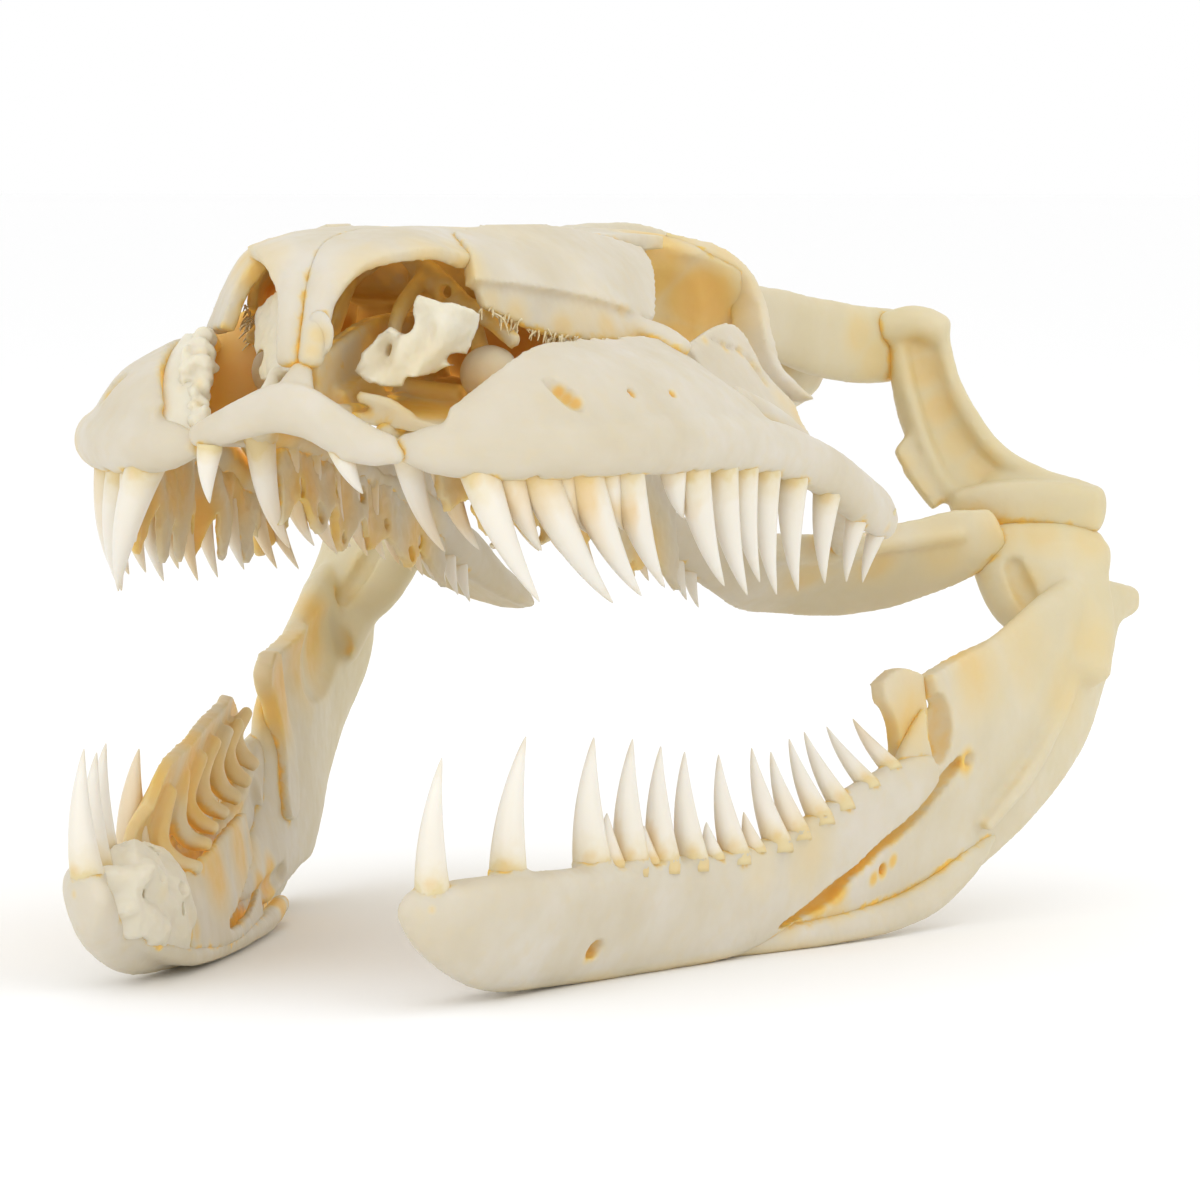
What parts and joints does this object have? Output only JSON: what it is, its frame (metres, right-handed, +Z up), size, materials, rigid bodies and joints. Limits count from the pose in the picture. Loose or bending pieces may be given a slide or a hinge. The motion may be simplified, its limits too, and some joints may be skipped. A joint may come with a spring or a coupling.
{
  "type": "python skull",
  "caption": "Cleaned python skull with wide open jaws resting on its lower jaws, with long back-curved teeth, separate roof and palate bones, and arched quadrates at the rear.",
  "frame": {"origin": "on the floor, on the midline, under the middle of the skull's length", "axes": "-Y the way the snout faces, +X to the animal's left, +Z up from the floor"},
  "size_m": [0.0784, 0.112, 0.0599],
  "materials": {
    "bone": "dry cleaned bone, matt, ivory white with yellow ochre in its hollows, teeth slightly glossier"
  },
  "bodies": {
    "root": {"premaxilla": "bone", "nasal_left": "bone", "nasal_right": "bone", "prefrontal_left": "bone", "prefrontal_right": "bone", "frontal_left": "bone", "frontal_right": "bone", "parietal": "bone", "braincase_rear": "bone", "parabasisphenoid": "bone", "postorbital_left": "bone", "postorbital_right": "bone", "supratemporal_left": "bone", "supratemporal_right": "bone", "quadrate_left": "bone", "quadrate_right": "bone", "maxilla_left": "bone", "maxilla_right": "bone", "ectopterygoid_left": "bone", "ectopterygoid_right": "bone", "pterygoid_left": "bone", "pterygoid_right": "bone", "palatine_left": "bone", "palatine_right": "bone", "vomer_left": "bone", "vomer_right": "bone", "septomaxilla_left": "bone", "septomaxilla_right": "bone", "dentary_left": "bone", "dentary_right": "bone", "compound_left": "bone", "compound_right": "bone", "angular_left": "bone", "angular_right": "bone", "splenial_left": "bone", "splenial_right": "bone", "coronoid_left": "bone", "coronoid_right": "bone"}
  },
  "joints": []
}
